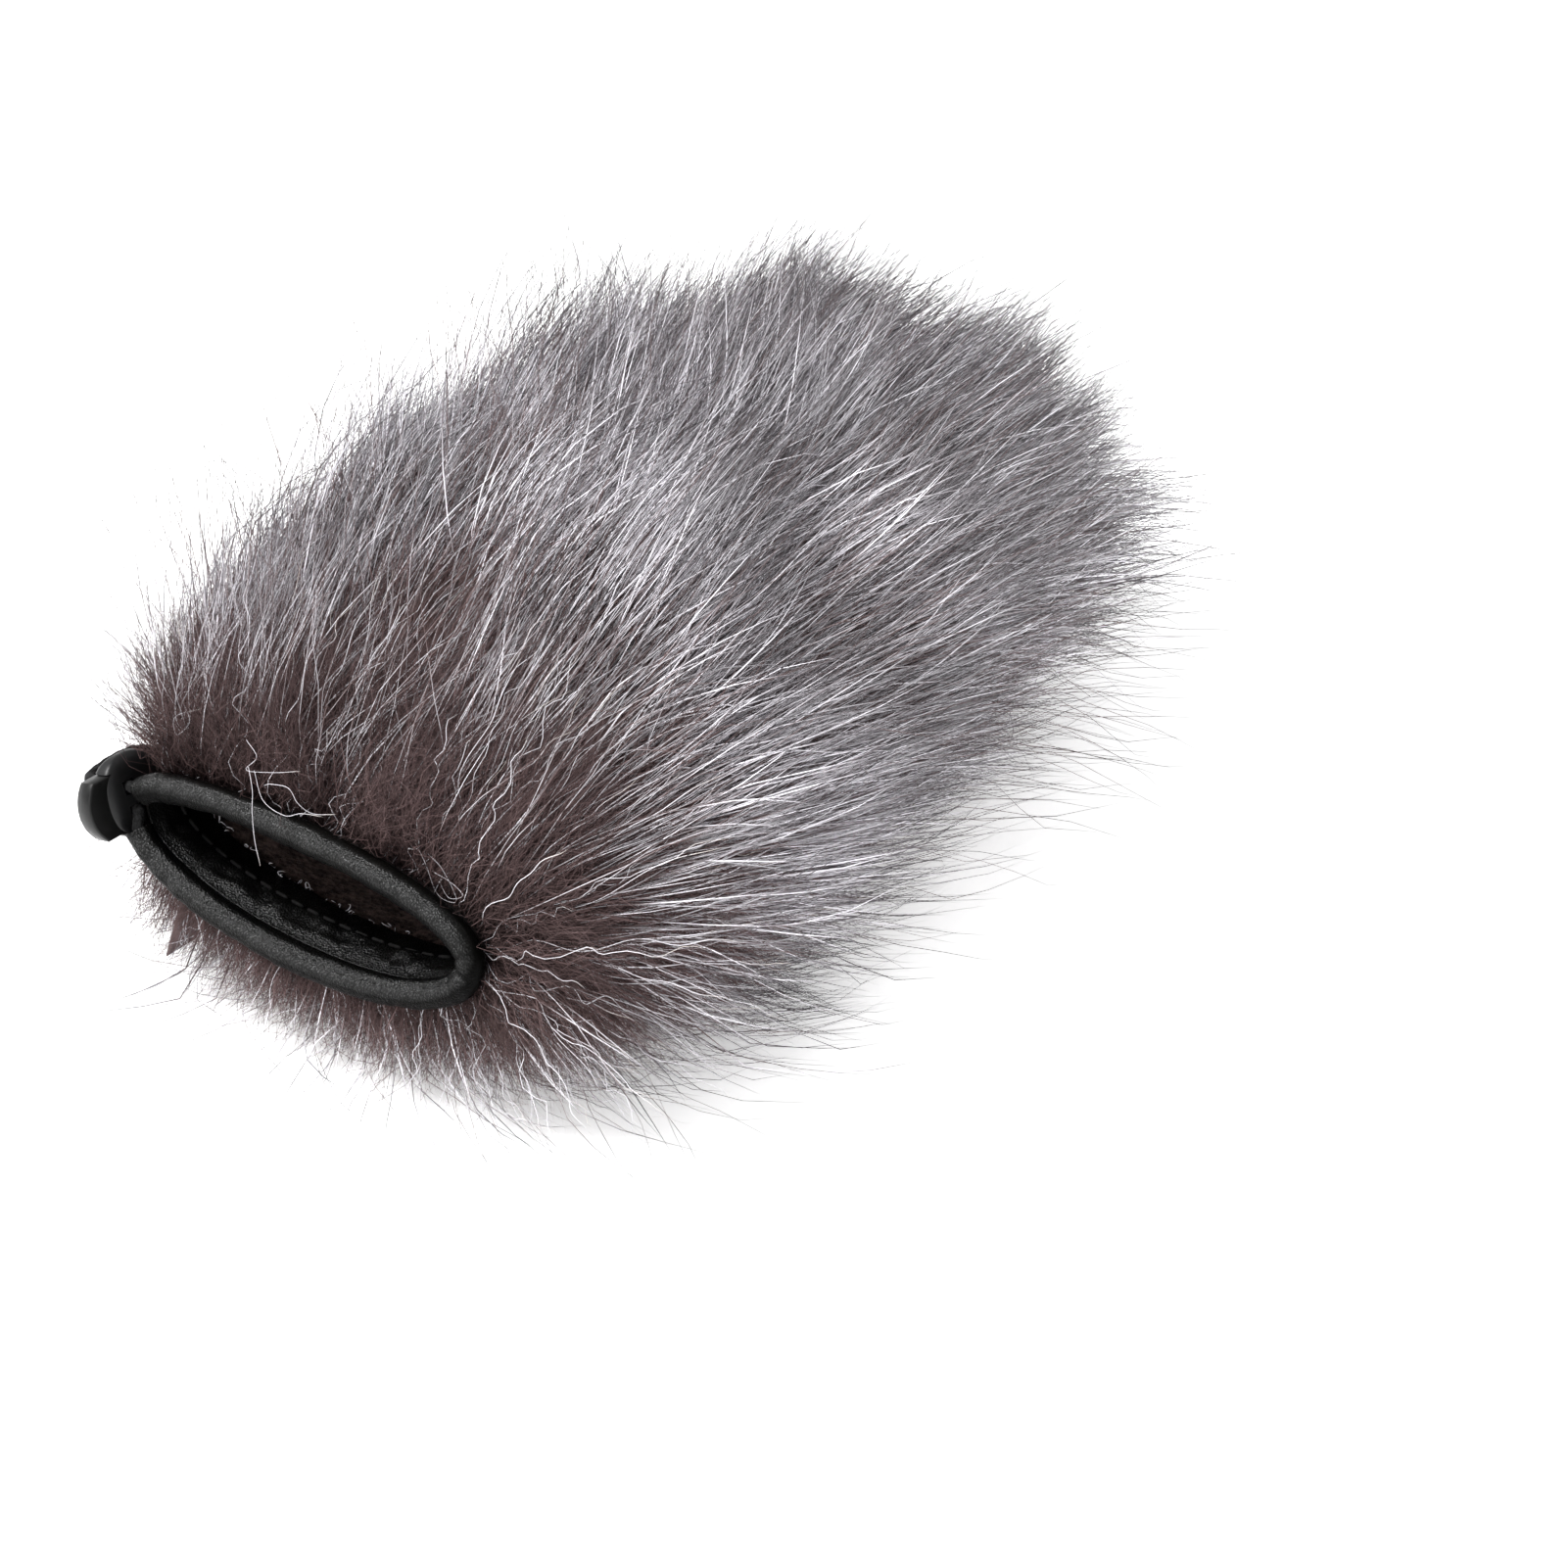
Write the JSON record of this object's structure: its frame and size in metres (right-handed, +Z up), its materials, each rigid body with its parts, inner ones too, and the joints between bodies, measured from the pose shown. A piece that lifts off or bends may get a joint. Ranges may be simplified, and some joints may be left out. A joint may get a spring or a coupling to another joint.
{
  "type": "furry windscreen",
  "caption": "Long-pile fur cover for a handheld recorder or microphone, with a rolled leather mouth, an elastic drawcord and a spring cord lock.",
  "frame": {"origin": "middle of the flat underside that the cover lies on", "axes": "+X along the cover from its mouth to its tip, +Y towards the corner with the cord lock, +Z up"},
  "size_m": [0.2004, 0.1352, 0.0903],
  "materials": {
    "knit": "matte knit",
    "fur": "long silky fibres",
    "thread": "polyester thread",
    "leather": "satin pebble grain",
    "elastic": "braided cover",
    "lock_plastic": "satin moulded",
    "spring_steel": "drawn wire"
  },
  "bodies": {
    "cover": {"backing_upper": "knit", "backing_lower": "knit", "side_seam_thread": "thread", "pile_upper": "fur", "pile_lower": "fur", "mouth_binding": "leather", "mouth_facing": "leather", "hem_stitching": "thread", "drawcord": "elastic", "drawcord_loop": "elastic"},
    "cord_lock": {"cord_lock_barrel": "lock_plastic", "cord_lock_spring": "spring_steel"},
    "plunger": {"cord_lock_plunger": "lock_plastic"}
  },
  "joints": [
    {"name": "cord_lock_slide", "type": "slide", "parent": "cover", "child": "cord_lock", "axis": [0, 0.9659, -0.2588], "range_m": [0, 0.002]},
    {"name": "plunger_press", "type": "slide", "parent": "cord_lock", "child": "plunger", "axis": [1, 0, 0], "range_m": [0, 0.0024], "stiffness_N_per_m": 300, "springref_m": -0.004, "deforming": ["cord_lock_spring"]}
  ]
}
